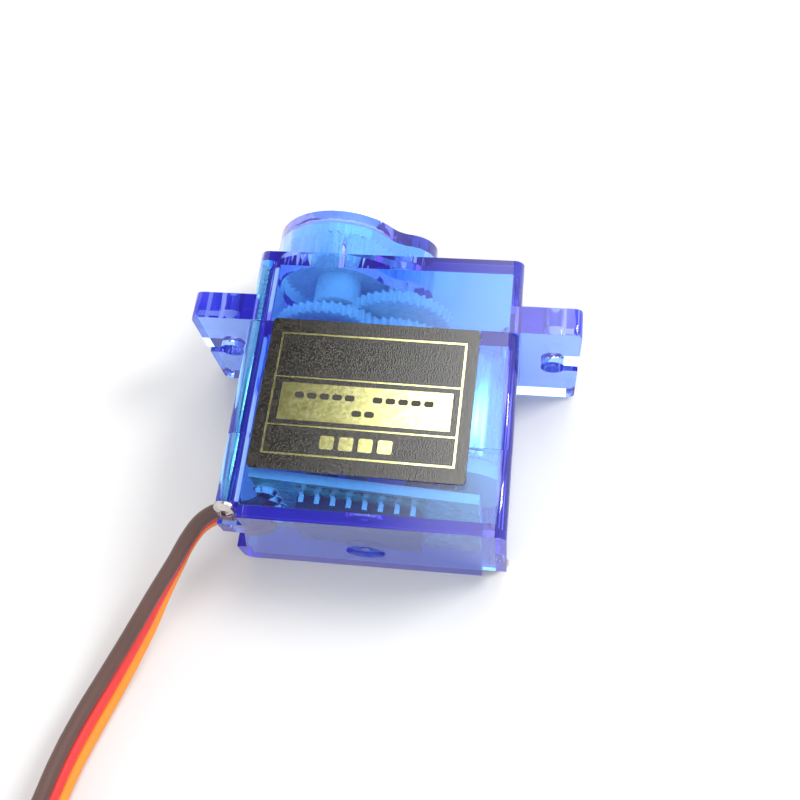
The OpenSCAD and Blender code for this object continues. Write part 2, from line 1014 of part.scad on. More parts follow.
module connector_housing() {
    color([0.1, 0.1, 0.1])
        at_plug()
            difference() {
                translate([0, plug_l / 2, 0])
                    cube([plug_w, plug_l, plug_h], center = true);
                for (k = [-1 : 1])
                    translate([k * plug_pitch, plug_l / 2 + 1, 0])
                        cube([contact_w, plug_l, contact_w], center = true);
            }
}

module connector_contacts() {
    color("goldenrod")
        at_plug()
            for (k = [-1 : 1])
                translate([k * plug_pitch, plug_l - 5.5, 0])
                    difference() {
                        cube([contact_w - 0.1, 9, contact_w - 0.1], center = true);
                        cube([contact_w - 0.6, 10, contact_w - 0.6], center = true);
                    }
}

upper_case();
middle_case();
bottom_cover();
case_screws();
label();
gear_pin();
motor_can();
motor_end_cap();
motor_bearing_front();
motor_bearing_rear();
motor_magnets();
motor_brushes();
motor_terminals();
pot_body();
pot_track();
pot_terminals();
circuit_board();
control_chip();
chip_legs();
chip_capacitors();
chip_resistors();
solder_joints();
motor_wire_red();
motor_wire_black();
pot_wires();
lead_tail_brown();
lead_tail_red();
lead_tail_orange();
rotor_shaft();
motor_pinion();
rotor_core();
rotor_windings();
commutator();
first_gear();
second_gear();
third_gear();
output_gear();
pot_shaft();
pot_wiper();
lead_wire_brown();
lead_wire_red();
lead_wire_orange();
lead_coil();
coil_tie();
connector_housing();
connector_contacts();
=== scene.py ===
"""Looks of a micro hobby servo motor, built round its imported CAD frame. Lengths are in metres."""

import json
import math

import bmesh
import bpy
from mathutils import Matrix, Vector


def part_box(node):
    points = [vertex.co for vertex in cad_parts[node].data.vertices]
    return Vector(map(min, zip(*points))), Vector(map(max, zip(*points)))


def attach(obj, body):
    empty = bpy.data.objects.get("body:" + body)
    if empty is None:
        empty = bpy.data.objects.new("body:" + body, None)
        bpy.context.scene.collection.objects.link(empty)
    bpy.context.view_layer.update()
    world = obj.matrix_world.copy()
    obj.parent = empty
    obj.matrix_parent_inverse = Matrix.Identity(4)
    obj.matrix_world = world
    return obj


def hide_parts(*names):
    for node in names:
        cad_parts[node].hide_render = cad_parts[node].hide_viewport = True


MM = 0.001
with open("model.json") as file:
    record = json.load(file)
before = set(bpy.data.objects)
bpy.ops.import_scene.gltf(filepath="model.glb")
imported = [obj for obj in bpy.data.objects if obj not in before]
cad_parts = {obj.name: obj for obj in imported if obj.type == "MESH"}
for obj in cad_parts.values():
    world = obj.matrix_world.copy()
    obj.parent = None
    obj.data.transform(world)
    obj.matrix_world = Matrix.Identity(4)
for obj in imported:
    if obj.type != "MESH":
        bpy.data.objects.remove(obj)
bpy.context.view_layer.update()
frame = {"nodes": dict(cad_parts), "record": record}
nodes = frame["nodes"]
slot_of = {part["node"]: part["material_slot"] for part in frame["record"]["subparts"]}


# ---------- camera, floor and light ----------

# The photograph's view: angles in degrees, then lengths in metres and the lens in millimetres
CAMERA_AZIMUTH, CAMERA_ELEVATION, CAMERA_ROLL = -18.34, 65.36, -13.36
CAMERA_DISTANCE = 82.64 * MM
CAMERA_TARGET = Vector((1.38, -2.63, 6)) * MM
CAMERA_LENS = 44.43


def add_camera():
    """Camera above the bottom end of the servo, a hand's width away, rolled to the left."""
    azimuth, elevation = math.radians(CAMERA_AZIMUTH), math.radians(CAMERA_ELEVATION)
    roll = math.radians(CAMERA_ROLL)
    forward = Vector((
        math.sin(azimuth) * math.cos(elevation),
        math.cos(azimuth) * math.cos(elevation),
        -math.sin(elevation),
    ))
    level = Vector((math.cos(azimuth), -math.sin(azimuth), 0))
    rise = level.cross(forward)
    right = level * math.cos(roll) + rise * math.sin(roll)
    up = rise * math.cos(roll) - level * math.sin(roll)
    data = bpy.data.cameras.new("camera")
    data.sensor_width = 36
    data.lens = CAMERA_LENS
    data.clip_start = 0.002
    camera = bpy.data.objects.new("camera", data)
    turn = Matrix((right, up, -forward)).transposed()
    camera.matrix_world = Matrix.LocRotScale(CAMERA_TARGET - forward * CAMERA_DISTANCE, turn, None)
    bpy.context.collection.objects.link(camera)
    bpy.context.scene.camera = camera


SOFTBOX_PLACE = Vector((0.28, 0.1, 0.3))
SOFTBOX_SIDE = 0.12
SOFTBOX_POWER = 1.3


def add_softbox():
    """Square softbox high up at the right, turned to the servo."""
    data = bpy.data.lights.new("side", "AREA")
    data.shape = "RECTANGLE"
    data.size = data.size_y = SOFTBOX_SIDE
    data.energy = SOFTBOX_POWER
    lamp = bpy.data.objects.new("side", data)
    lamp.location = SOFTBOX_PLACE
    lamp.rotation_euler = (-SOFTBOX_PLACE).to_track_quat("-Z", "Y").to_euler()
    bpy.context.collection.objects.link(lamp)


ROOM_STRENGTH = 1.35
# Soft patches of the room: direction, cosines where each one starts and is full, strength inside
ROOM_PATCHES = (
    ((-0.32, 0.43, 0.84), (0.945, 0.99), 0.02),
    ((0.13, 0.38, 0.92), (0.95, 0.992), 5.4),
)


def add_room():
    """Even white room with a soft dark patch and a soft bright one, high up behind the servo."""
    world = bpy.data.worlds.new("room")
    world.use_nodes = True
    tree = world.node_tree
    towards = tree.nodes.new("ShaderNodeTexCoord").outputs["Generated"]
    strength = None
    for direction, edge, inside in ROOM_PATCHES:
        facing = tree.nodes.new("ShaderNodeVectorMath")
        facing.operation = "DOT_PRODUCT"
        facing.inputs[1].default_value = Vector(direction).normalized()
        tree.links.new(towards, facing.inputs[0])
        patch = tree.nodes.new("ShaderNodeMapRange")
        patch.interpolation_type = "SMOOTHSTEP"
        patch.inputs["From Min"].default_value, patch.inputs["From Max"].default_value = edge
        patch.inputs["To Min"].default_value = ROOM_STRENGTH
        patch.inputs["To Max"].default_value = inside
        tree.links.new(facing.outputs["Value"], patch.inputs["Value"])
        if strength is not None:
            tree.links.new(strength, patch.inputs["To Min"])
        strength = patch.outputs["Result"]
    room = tree.nodes["Background"]
    room.inputs["Color"].default_value = (1, 1, 1, 1)
    tree.links.new(strength, room.inputs["Strength"])
    bpy.context.scene.world = world


# Light crosses many faces on its way through the clear case and back
CLEAR_BOUNCES = 24
FLOOR_HALF = 1.5
FLOOR_BELOW = 0.02 * MM


def add_surroundings():
    """White paper floor, the room and the softbox."""
    scene = bpy.context.scene
    scene.view_settings.view_transform = "Standard"
    scene.cycles.max_bounces = CLEAR_BOUNCES
    scene.cycles.transmission_bounces = CLEAR_BOUNCES
    add_room()
    add_softbox()
    mesh = bpy.data.meshes.new("floor")
    corners = ((-1, -1), (1, -1), (1, 1), (-1, 1))
    mesh.from_pydata([(x * FLOOR_HALF, y * FLOOR_HALF, -FLOOR_BELOW) for x, y in corners], [], [(0, 1, 2, 3)])
    floor = bpy.data.objects.new("floor", mesh)
    bpy.context.collection.objects.link(floor)
    recipe = Recipe("floor_paper", roughness=0.6)
    recipe.colour((0.56, 0.56, 0.56), (0.6, 0.6, 0.6), recipe.noise(30 * MM))
    mesh.materials.append(recipe.material)


# ---------- materials ----------

class Recipe:
    """Node tree of one material, with short calls for the nodes that most of them share."""

    def __init__(self, name, metallic=0.0, roughness=0.5):
        self.material = bpy.data.materials.new(name)
        self.material.use_nodes = True
        self.tree = self.material.node_tree
        self.shader = self.tree.nodes["Principled BSDF"]
        self.shader.inputs["Metallic"].default_value = metallic
        self.shader.inputs["Roughness"].default_value = roughness

    def node(self, kind, **inputs):
        """New node of that kind, with the named inputs linked or set."""
        node = self.tree.nodes.new(kind)
        for name, value in inputs.items():
            self.put(node.inputs[name], value)
        return node

    def put(self, socket, value):
        """Links an output socket to an input, or sets the input to a plain value."""
        if isinstance(value, bpy.types.NodeSocket):
            self.tree.links.new(value, socket)
        else:
            socket.default_value = value

    def place(self, stretch=(1, 1, 1)):
        """Object coordinates, in metres, with each axis multiplied by stretch."""
        here = self.node("ShaderNodeTexCoord").outputs["Object"]
        return self.node("ShaderNodeMapping", Vector=here, Scale=stretch).outputs["Vector"]

    def noise(self, size, detail=3.0, stretch=(1, 1, 1)):
        """Cloudy noise from 0 to 1, with blobs about size metres across."""
        found = self.node("ShaderNodeTexNoise", Vector=self.place(stretch), Scale=1 / size, Detail=detail)
        return found.outputs["Fac"]

    def cells(self, size):
        """Distance to the nearest random point, with points about size metres apart."""
        found = self.node("ShaderNodeTexVoronoi", Vector=self.place(), Scale=1 / size)
        return found.outputs["Distance"]

    def stripes(self, pitch, axis):
        """Soft, slightly wavy bands across an axis, pitch metres apart."""
        found = self.node("ShaderNodeTexWave", Vector=self.place(), Scale=math.pi / (10 * pitch),
                          Distortion=0.3)
        found.bands_direction = axis
        return found.outputs["Fac"]

    def span(self, value, low, high, start=0.0, end=1.0):
        """Value from start to end, spread over low to high."""
        found = self.node("ShaderNodeMapRange", Value=value)
        for name, number in (("From Min", start), ("From Max", end), ("To Min", low), ("To Max", high)):
            found.inputs[name].default_value = number
        return found.outputs["Result"]

    def blend(self, dark, light, factor):
        """Colour from dark to light. Each is a colour or a node's output."""
        found = self.node("ShaderNodeMix")
        found.data_type = "RGBA"
        self.put(found.inputs["Factor"], factor)
        self.put(found.inputs[6], dark if isinstance(dark, bpy.types.NodeSocket) else (*dark, 1))
        self.put(found.inputs[7], light if isinstance(light, bpy.types.NodeSocket) else (*light, 1))
        return found.outputs[2]

    def colour(self, dark, light, factor):
        """Base colour from dark to light."""
        self.put(self.shader.inputs["Base Color"], self.blend(dark, light, factor))

    def bump(self, height, depth, strength):
        """Small relief, depth metres deep."""
        found = self.node("ShaderNodeBump", Height=height, Distance=depth, Strength=strength)
        self.put(self.shader.inputs["Normal"], found.outputs["Normal"])

    def rough(self, value, low, high):
        """Roughness from low to high over the middle of a noise's range."""
        self.put(self.shader.inputs["Roughness"], self.span(value, low, high, 0.3, 0.7))


def clear_blue():
    """Blue polycarbonate: azure where thin, violet where thick, with a faint painted blue glow from emission
    that brightens it.
    """
    recipe = Recipe("clear_blue_plastic")
    shader = recipe.shader
    shader.inputs["Transmission Weight"].default_value = 1.0
    shader.inputs["IOR"].default_value = 1.5
    shader.inputs["Specular IOR Level"].default_value = 0.46
    recipe.colour((0.3, 0.72, 1.0), (0.36, 0.77, 1.0), recipe.noise(4 * MM))
    recipe.rough(recipe.noise(1.5 * MM, 5), 0.01, 0.03)
    recipe.bump(recipe.noise(3 * MM, 2), 0.006 * MM, 0.25)
    # Painted glow: a faint blue emission that brightens the plastic as if more light came through it
    shader.inputs["Emission Color"].default_value = (0.2, 0.17, 1.0, 1)
    shader.inputs["Emission Strength"].default_value = 0.05
    dye = recipe.node("ShaderNodeVolumeAbsorption", Color=(0.64, 0.2, 0.985, 1), Density=180.0)
    out = recipe.tree.nodes["Material Output"]
    recipe.put(out.inputs["Volume"], dye.outputs["Volume"])
    return recipe.material


def label_film():
    """Black glossy sticker with a fine gold grain under its film."""
    recipe = Recipe("label_film", metallic=0.2)
    recipe.shader.inputs["IOR"].default_value = 1.8
    recipe.shader.inputs["Specular IOR Level"].default_value = 0.6
    grain = recipe.cells(0.11 * MM)
    speck = recipe.span(grain, 1.0, 0.0, 0.1, 0.4)
    cloud = recipe.span(recipe.noise(3 * MM, 3), 0.5, 1.0, 0.35, 0.65)
    amount = recipe.node("ShaderNodeMath")
    amount.operation = "MULTIPLY"
    recipe.put(amount.inputs[0], speck)
    recipe.put(amount.inputs[1], cloud)
    recipe.colour((0.005, 0.0045, 0.0035), (0.12, 0.095, 0.05), amount.outputs["Value"])
    recipe.rough(recipe.noise(0.5 * MM), 0.13, 0.2)
    recipe.bump(grain, 0.014 * MM, 0.6)
    return recipe.material


def gold_foil():
    """Pale gold printing foil, finely crazed."""
    recipe = Recipe("gold_foil", metallic=1.0)
    worn = recipe.span(recipe.noise(0.5 * MM, 6), 0, 1, 0.35, 0.6)
    recipe.colour((0.92, 0.89, 0.33), (0.99, 0.97, 0.46), worn)
    recipe.rough(recipe.noise(0.25 * MM, 6), 0.15, 0.19)
    recipe.bump(recipe.noise(0.08 * MM, 4), 0.002 * MM, 0.3)
    return recipe.material


def insulation(name, dark, light):
    """Soft vinyl wire cover: slightly streaked along its length, satin."""
    recipe = Recipe(name)
    recipe.colour(dark, light, recipe.noise(2.2 * MM, 4, (1, 0.4, 1)))
    recipe.rough(recipe.noise(0.7 * MM), 0.34, 0.52)
    recipe.bump(recipe.noise(0.25 * MM, 4), 0.012 * MM, 0.5)
    recipe.shader.inputs["Coat Weight"].default_value = 0.12
    recipe.shader.inputs["Coat Roughness"].default_value = 0.3
    return recipe.material


def moulded(name, dark, light, low, high, grain=0.3, depth=0.01):
    """Moulded plastic or ceramic with a fine spark-eroded grain."""
    recipe = Recipe(name)
    recipe.colour(dark, light, recipe.noise(6 * grain * MM, 4))
    recipe.rough(recipe.noise(grain * MM, 4), low, high)
    recipe.bump(recipe.noise(grain * MM, 5), depth * MM, 0.6)
    return recipe.material


def metal(name, dark, light, low, high, stretch=(1, 1, 1), depth=0.004):
    """Bare metal with drawing or turning marks along the axis that stretch leaves short."""
    recipe = Recipe(name, metallic=1.0)
    marks = recipe.noise(0.5 * MM, 5, stretch)
    recipe.colour(dark, light, marks)
    recipe.rough(marks, low, high)
    recipe.bump(marks, depth * MM, 0.5)
    return recipe.material


def nylon():
    """White gear nylon, a little translucent and waxy."""
    recipe = Recipe("gear_nylon")
    recipe.colour((0.88, 0.88, 0.86), (0.92, 0.92, 0.91), recipe.noise(1.5 * MM, 4))
    recipe.rough(recipe.noise(0.4 * MM), 0.2, 0.35)
    recipe.bump(recipe.noise(0.2 * MM, 4), 0.004 * MM, 0.4)
    recipe.shader.inputs["Subsurface Weight"].default_value = 1.0
    recipe.shader.inputs["Subsurface Radius"].default_value = (1, 1, 1)
    recipe.shader.inputs["Subsurface Scale"].default_value = 1.2 * MM
    return recipe.material


def banded(name, dark, light, pitch, axis, low, high, depth):
    """Metal in fine parallel layers or turns, such as windings and stacked sheets."""
    recipe = Recipe(name, metallic=0.9)
    bands = recipe.stripes(pitch, axis)
    recipe.colour(dark, light, bands)
    recipe.rough(recipe.noise(0.5 * MM), low, high)
    recipe.bump(bands, depth * MM, 0.8)
    return recipe.material


def board_mask():
    """Green solder mask over faint copper tracks; the cut edges show pale fibreglass."""
    recipe = Recipe("board_green")
    tracks = recipe.span(recipe.cells(1.4 * MM), 0.0, 1.0, 0.38, 0.44)
    mask = recipe.blend((0.05, 0.34, 0.17), (0.1, 0.46, 0.26), tracks)
    normal = recipe.node("ShaderNodeSeparateXYZ")
    recipe.put(normal.inputs[0], recipe.node("ShaderNodeTexCoord").outputs["Normal"])
    flat = recipe.node("ShaderNodeMath")
    flat.operation = "ABSOLUTE"
    recipe.put(flat.inputs[0], normal.outputs["Y"])
    recipe.put(recipe.shader.inputs["Base Color"],
               recipe.blend((0.8, 0.82, 0.72), mask, recipe.span(flat.outputs[0], 0, 1, 0.6, 0.8)))
    recipe.rough(recipe.noise(0.6 * MM), 0.18, 0.32)
    recipe.bump(tracks, 0.02 * MM, 0.4)
    recipe.shader.inputs["Coat Weight"].default_value = 0.4
    return recipe.material


# Stretches of a metal's marks: drawn out along Y, or in fine rings round it
ALONG = (1, 0.08, 1)
ROUND = (1, 12, 1)
# Dark and light colours come first, then the lowest and highest roughness
MATERIALS = {
    "clear_blue_plastic": clear_blue(),
    "label_film": label_film(),
    "gold_foil": gold_foil(),
    "gear_nylon": nylon(),
    "board_green": board_mask(),
    "screw_steel": metal("screw_steel", (0.36, 0.34, 0.32), (0.6, 0.57, 0.55), 0.12, 0.28, depth=0.001),
    "shaft_steel": metal("shaft_steel", (0.6, 0.6, 0.61), (0.8, 0.8, 0.81), 0.12, 0.25, ROUND),
    "motor_steel": metal("motor_steel", (0.52, 0.52, 0.53), (0.74, 0.74, 0.75), 0.2, 0.4, ALONG),
    "bearing_bronze": metal("bearing_bronze", (0.45, 0.3, 0.12), (0.66, 0.46, 0.22), 0.3, 0.5),
    "brush_copper": metal("brush_copper", (0.66, 0.36, 0.18), (0.85, 0.52, 0.3), 0.2, 0.4, ALONG),
    "tinned_metal": metal("tinned_metal", (0.62, 0.62, 0.63), (0.85, 0.85, 0.86), 0.15, 0.35),
    "pinion_brass": metal("pinion_brass", (0.7, 0.5, 0.18), (0.9, 0.72, 0.36), 0.15, 0.3, ROUND),
    "contact_gold": metal("contact_gold", (0.8, 0.58, 0.22), (0.95, 0.76, 0.4), 0.12, 0.28),
    "motor_laminations": banded("motor_laminations", (0.12, 0.12, 0.13), (0.35, 0.35, 0.36),
                                0.35 * MM, "Y", 0.35, 0.5, 0.02),
    "copper_winding": banded("copper_winding", (0.4, 0.12, 0.03), (0.85, 0.4, 0.15),
                             0.12 * MM, "DIAGONAL", 0.2, 0.35, 0.05),
    "motor_cap_plastic": moulded("motor_cap_plastic", (0.78, 0.78, 0.76), (0.88, 0.88, 0.86), 0.4, 0.55),
    "magnet_ferrite": moulded("magnet_ferrite", (0.05, 0.05, 0.055), (0.1, 0.1, 0.105), 0.5, 0.7, 0.2, 0.02),
    "pot_phenolic": moulded("pot_phenolic", (0.12, 0.07, 0.045), (0.2, 0.13, 0.09), 0.4, 0.6, 0.4, 0.02),
    "carbon_track": moulded("carbon_track", (0.02, 0.02, 0.02), (0.05, 0.05, 0.05), 0.3, 0.5),
    "chip_black": moulded("chip_black", (0.018, 0.018, 0.02), (0.04, 0.04, 0.042), 0.45, 0.65, 0.12, 0.02),
    "capacitor_tan": moulded("capacitor_tan", (0.45, 0.3, 0.15), (0.6, 0.44, 0.26), 0.3, 0.5),
    "resistor_black": moulded("resistor_black", (0.02, 0.02, 0.024), (0.05, 0.05, 0.055), 0.2, 0.35),
    "tie_plastic": moulded("tie_plastic", (0.8, 0.8, 0.8), (0.9, 0.9, 0.9), 0.3, 0.5),
    "connector_plastic": moulded("connector_plastic", (0.012, 0.012, 0.013), (0.03, 0.03, 0.032), 0.35, 0.5),
    "label_ink": moulded("label_ink", (0.01, 0.01, 0.008), (0.03, 0.028, 0.02), 0.3, 0.45, 0.2, 0.004),
    "brown_insulation": insulation("brown_insulation", (0.05, 0.02, 0.015), (0.088, 0.038, 0.03)),
    "red_insulation": insulation("red_insulation", (0.5, 0.012, 0.012), (0.66, 0.025, 0.022)),
    "orange_insulation": insulation("orange_insulation", (0.75, 0.17, 0.004), (0.85, 0.26, 0.01)),
    "black_insulation": insulation("black_insulation", (0.01, 0.01, 0.01), (0.03, 0.03, 0.03)),
    "yellow_insulation": insulation("yellow_insulation", (0.8, 0.55, 0.02), (0.92, 0.68, 0.05)),
}


# ---------- lead ----------

WIRE_D = 1.2 * MM
# Route of the middle wire on the floor, in millimetres: x, y, z, lean of the ribbon in degrees
# (90 stands on edge) and the distance between neighbouring wires
LEAD_ROUTE = [
    (-11.1, -13.4, 5.9, 90, 1.2), (-12.4, -13.6, 5.8, 82, 1.2), (-13.6, -14.3, 5.6, 76, 1.2),
    (-14.5, -15.5, 5.3, 74, 1.2), (-15.6, -17.8, 4.6, 77, 1.2), (-16.6, -19.9, 3.9, 84, 1.2),
    (-17.6, -22.1, 3.1, 92, 1.24), (-18.7, -24.5, 2.4, 98, 1.24), (-19.9, -27.2, 1.9, 103, 1.24),
    (-21.1, -30.3, 1.8, 106, 1.24), (-22.1, -33.4, 1.8, 104, 1.24), (-22.9, -36.8, 1.8, 101, 1.24),
    (-23.9, -40.4, 1.8, 99, 1.24), (-25.3, -44.2, 1.9, 97, 1.24), (-26.8, -47.8, 1.9, 95, 1.24),
    (-28.2, -51.3, 2, 92, 1.2), (-29.2, -54.6, 2.1, 90, 1.2), (-29.5, -57.5, 2.1, 90, 1.2),
]
# The coil, in millimetres: its middle, turns, outer radius, what each turn comes in by, and height
COIL_MID = (-14.2, -57.5)
COIL_TURNS = 2.25
COIL_R = 15.3
COIL_STEP = 1.3
COIL_Z = 2.1
STEPS_A_TURN = 16
# From the coil's inner turn to the connector, measured from the coil's middle
END_ROUTE = [
    (0, -12.4, 2.1, 90, 1.2), (1.3, -12.2, 2.05, 80, 1.2), (2.5, -11.7, 1.95, 66, 1.3),
    (3.5, -10.9, 1.75, 48, 1.5), (4.2, -9.8, 1.5, 28, 1.9), (4.5, -8.6, 1.3, 10, 2.35),
    (4.5, -7.3, 1.25, 0, 2.54),
]


def whole_route():
    """The lead's route, its coil and its end, as one list of points in millimetres."""
    coil = []
    for i in range(1, int(COIL_TURNS * STEPS_A_TURN)):
        angle = math.pi + 2 * math.pi * i / STEPS_A_TURN
        radius = COIL_R - COIL_STEP * i / STEPS_A_TURN
        x = COIL_MID[0] + radius * math.cos(angle)
        y = COIL_MID[1] + radius * math.sin(angle)
        coil.append((x, y, COIL_Z, 90, WIRE_D / MM))
    end = [(COIL_MID[0] + x, COIL_MID[1] + y, z, lean, pitch) for x, y, z, lean, pitch in END_ROUTE]
    return LEAD_ROUTE + coil + end


def wire_points(side):
    """Points of one wire of the ribbon: side 1 is brown, 0 red and -1 orange."""
    route = whole_route()
    last = len(route) - 1
    up = Vector((0, 0, 1))
    points = []
    for i, (x, y, z, lean, pitch) in enumerate(route):
        ahead, behind = route[min(i + 1, last)], route[max(i - 1, 0)]
        left = Vector((behind[1] - ahead[1], ahead[0] - behind[0], 0)).normalized()
        tilt = math.radians(lean)
        here = Vector((x, y, z)) + side * pitch * (math.cos(tilt) * left + math.sin(tilt) * up)
        points.append(here * MM)
    return points


def smooth_tube(name, points, diameter, material):
    """Round tube along one smooth curve through the points."""
    data = bpy.data.curves.new(name, "CURVE")
    data.dimensions = "3D"
    data.bevel_depth = diameter / 2
    data.bevel_resolution = 4
    data.resolution_u = 6
    data.use_fill_caps = True
    spline = data.splines.new("BEZIER")
    spline.bezier_points.add(len(points) - 1)
    for knot, point in zip(spline.bezier_points, points):
        knot.co = point
        knot.handle_left_type = knot.handle_right_type = "AUTO"
    tube = bpy.data.objects.new(name, data)
    bpy.context.collection.objects.link(tube)
    data.materials.append(material)
    return tube


def add_lead():
    """Three bonded wires, loose and then coiled, with the tie and the connector on them."""
    add_connector_tongues()
    add_tie_ribs()
    for side, colour in ((1, "brown"), (0, "red"), (-1, "orange")):
        points = wire_points(side)
        slot = colour + "_insulation"
        wire = smooth_tube("lead_" + colour, points, WIRE_D, MATERIALS[slot])
        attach(wire, "case")
        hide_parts("lead_wire_" + colour, "lead_coil")


# ---------- CAD nodes ----------

# Width of the rounded edge that each kind of part gets, in millimetres
EDGE = {
    "upper_case": 0.14, "middle_case": 0.12, "bottom_cover": 0.14, "case_screws": 0.05,
    "motor_can": 0.25, "motor_end_cap": 0.12, "pot_body": 0.2, "circuit_board": 0.06,
    "control_chip": 0.1, "connector_housing": 0.18, "coil_tie": 0.1, "label": 0.02,
}
EDGE_OTHERS = 0.03
# How far two of a node's corners lie apart at most and still are one, in metres
WELD = 0.002 * MM
# The clear parts, which draw back a little from each other so that their seams show
SHELLS = ("upper_case", "middle_case", "bottom_cover")
SHELL_GAP = 0.012 * MM
# Wires and solder, whose coarse facets are smoothed away
SMOOTHED = (
    "motor_wire_red", "motor_wire_black", "pot_wires", "solder_joints",
    "lead_tail_brown", "lead_tail_red", "lead_tail_orange",
)


def finish_nodes():
    """Gives every CAD node its material and rounded edges, or smooth facets."""
    for name, obj in nodes.items():
        obj.data.materials.clear()
        obj.data.materials.append(MATERIALS.get(slot_of[name], MATERIALS["brown_insulation"]))
        for face in obj.data.polygons:
            face.material_index = 0
        weld = obj.modifiers.new("closed", "WELD")
        weld.merge_threshold = WELD
        if name in SHELLS:
            gap = obj.modifiers.new("seam_gap", "DISPLACE")
            gap.strength = -SHELL_GAP
            gap.mid_level = 0
        if name in SMOOTHED:
            obj.modifiers.new("smooth", "SUBSURF").render_levels = 2
            obj.data.shade_smooth()
            continue
        edge = obj.modifiers.new("edge", "BEVEL")
        edge.width = EDGE.get(name, EDGE_OTHERS) * MM
        edge.segments = 2
        edge.limit_method = "ANGLE"
        edge.angle_limit = math.radians(38)
        edge.harden_normals = True


# ---------- added detail ----------

def mesh_object(name, build, material):
    """Object on the case whose mesh the function build draws into a bmesh."""
    mesh = bpy.data.meshes.new(name)
    shape = bmesh.new()
    build(shape)
    bmesh.ops.recalc_face_normals(shape, faces=shape.faces)
    shape.to_mesh(mesh)
    shape.free()
    obj = bpy.data.objects.new(name, mesh)
    bpy.context.collection.objects.link(obj)
    mesh.materials.append(MATERIALS[material])
    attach(obj, "case")
    return obj


def add_plate(shape, place, centre, size, thick, cut=0.03):
    """Thin flat plate with clipped corners. place maps its own millimetres to the row frame."""
    half_w, half_h = size[0] / 2, size[1] / 2
    outline = []
    for sx, sy in ((1, 1), (-1, 1), (-1, -1), (1, -1)):
        corners = [(sx * half_w, sy * (half_h - cut)), (sx * (half_w - cut), sy * half_h)]
        outline += corners if sx * sy > 0 else corners[::-1]
    rings = []
    for z in (0, thick):
        rings.append([shape.verts.new(place(centre[0] + x, centre[1] + y, z)) for x, y in outline])
    count = len(outline)
    shape.faces.new(rings[0][::-1])
    shape.faces.new(rings[1])
    for i in range(count):
        j = (i + 1) % count
        shape.faces.new((rings[0][i], rings[0][j], rings[1][j], rings[1][i]))


# The label's printing, in millimetres from its middle
LABEL_TURN = math.radians(-0.9)
PRINT_LIFT = 0.002
FOIL_T = 0.012
INK_T = 0.022
FRAME_W, FRAME_H, FRAME_LINE = 14.95, 10.3, 0.15
RULE_LINE = FRAME_LINE * 0.8
PANEL_MID, PANEL_SIZE = (0.05, -0.75), (13.5, 3.15)
RULES = (1.31, -2.78)
# Plain dashes and blocks that stand for printing: x, y, width, height
WORD_DASHES = [(x, -0.2, 0.76, 0.5) for x in (-5.2, -4.2, -3.2, -2.2, -1.2, 1, 2, 3, 4, 5)]
INK_BARS = WORD_DASHES + [(x, -1.45, 0.76, 0.5) for x in (-0.5, 0.5)]
MARK_BARS = [(1.5 * k - 0.2, -4.0, 1.1, 1.1) for k in (-1.5, -0.5, 0.5, 1.5)]


def add_label_print():
    """Gold frame, rules and panel on the label, and plain bars where it has its printing."""
    low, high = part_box("label")
    centre = (low + high) / 2
    turn = Matrix.Rotation(LABEL_TURN, 3, "Z")

    def place(x, y, z):
        turned = turn @ Vector((x, y, 0))
        return Vector((centre.x, centre.y, high.z)) + (turned + Vector((0, 0, z + PRINT_LIFT))) * MM

    def gold(shape):
        upright = FRAME_H - FRAME_LINE
        for side in (-1, 1):
            add_plate(shape, place, (0, side * FRAME_H / 2), (FRAME_W, FRAME_LINE), FOIL_T)
            add_plate(shape, place, (side * (FRAME_W - FRAME_LINE) / 2, 0), (FRAME_LINE, upright), FOIL_T)
        for y in RULES:
            add_plate(shape, place, (0, y), (FRAME_W - 2 * FRAME_LINE, RULE_LINE), FOIL_T)
        add_plate(shape, place, PANEL_MID, PANEL_SIZE, FOIL_T)
        for x, y, w, h in MARK_BARS:
            add_plate(shape, place, (x, y), (w, h), FOIL_T, 0.1)

    def ink(shape):
        for x, y, w, h in INK_BARS:
            add_plate(shape, place, (x, y), (w, h), INK_T, 0.12)

    mesh_object("label_gold_print", gold, "gold_foil")
    mesh_object("label_ink_print", ink, "label_ink")


def islands(name):
    """Middle of each separate solid in a CAD node."""
    shape = bmesh.new()
    shape.from_mesh(nodes[name].data)
    bmesh.ops.remove_doubles(shape, verts=shape.verts, dist=WELD)
    left = set(shape.verts)
    middles = []
    while left:
        stack, found = [left.pop()], []
        while stack:
            vert = stack.pop()
            found.append(vert.co.copy())
            for edge in vert.link_edges:
                other = edge.other_vert(vert)
                if other in left:
                    left.remove(other)
                    stack.append(other)
        low = Vector(min(p[k] for p in found) for k in range(3))
        high = Vector(max(p[k] for p in found) for k in range(3))
        middles.append((low + high) / 2)
    shape.free()
    return sorted(middles, key=tuple)


LATHE_SIDES = 24


def add_lathe(shape, place, profile):
    """Closed ring of revolution. profile is (radius, height) all the way round its section."""
    rings = []
    for k in range(LATHE_SIDES):
        turn = 2 * math.pi * k / LATHE_SIDES
        rings.append([shape.verts.new(place(r * math.cos(turn), r * math.sin(turn), h)) for r, h in profile])
    count = len(profile)
    for k in range(LATHE_SIDES):
        here, after = rings[k], rings[(k + 1) % LATHE_SIDES]
        for i in range(count):
            j = (i + 1) % count
            shape.faces.new((here[i], here[j], after[j], after[i]))


# The circuit board, in millimetres from its middle along its own length: board and pads first
BOARD_T = 0.8
PAD_GAP = 0.01
PAD_T = 0.04
# Wide pads for the lead lie left of this, and narrow ones for the other wires right of it
PAD_SPLIT = -7
LEAD_PAD, WIRE_PAD = (0.66, 1.12), (0.4, 0.85)
# Copper: where the tracks from the pads end, the chip's middle, its leg pitch and its two rows
TRACK_T = 0.03
TRACK_END = -6.3
CHIP_X = -0.6
LEG_PITCH = 1.27
LEG_ROW, LEG_RAIL = 3.9, 4.35


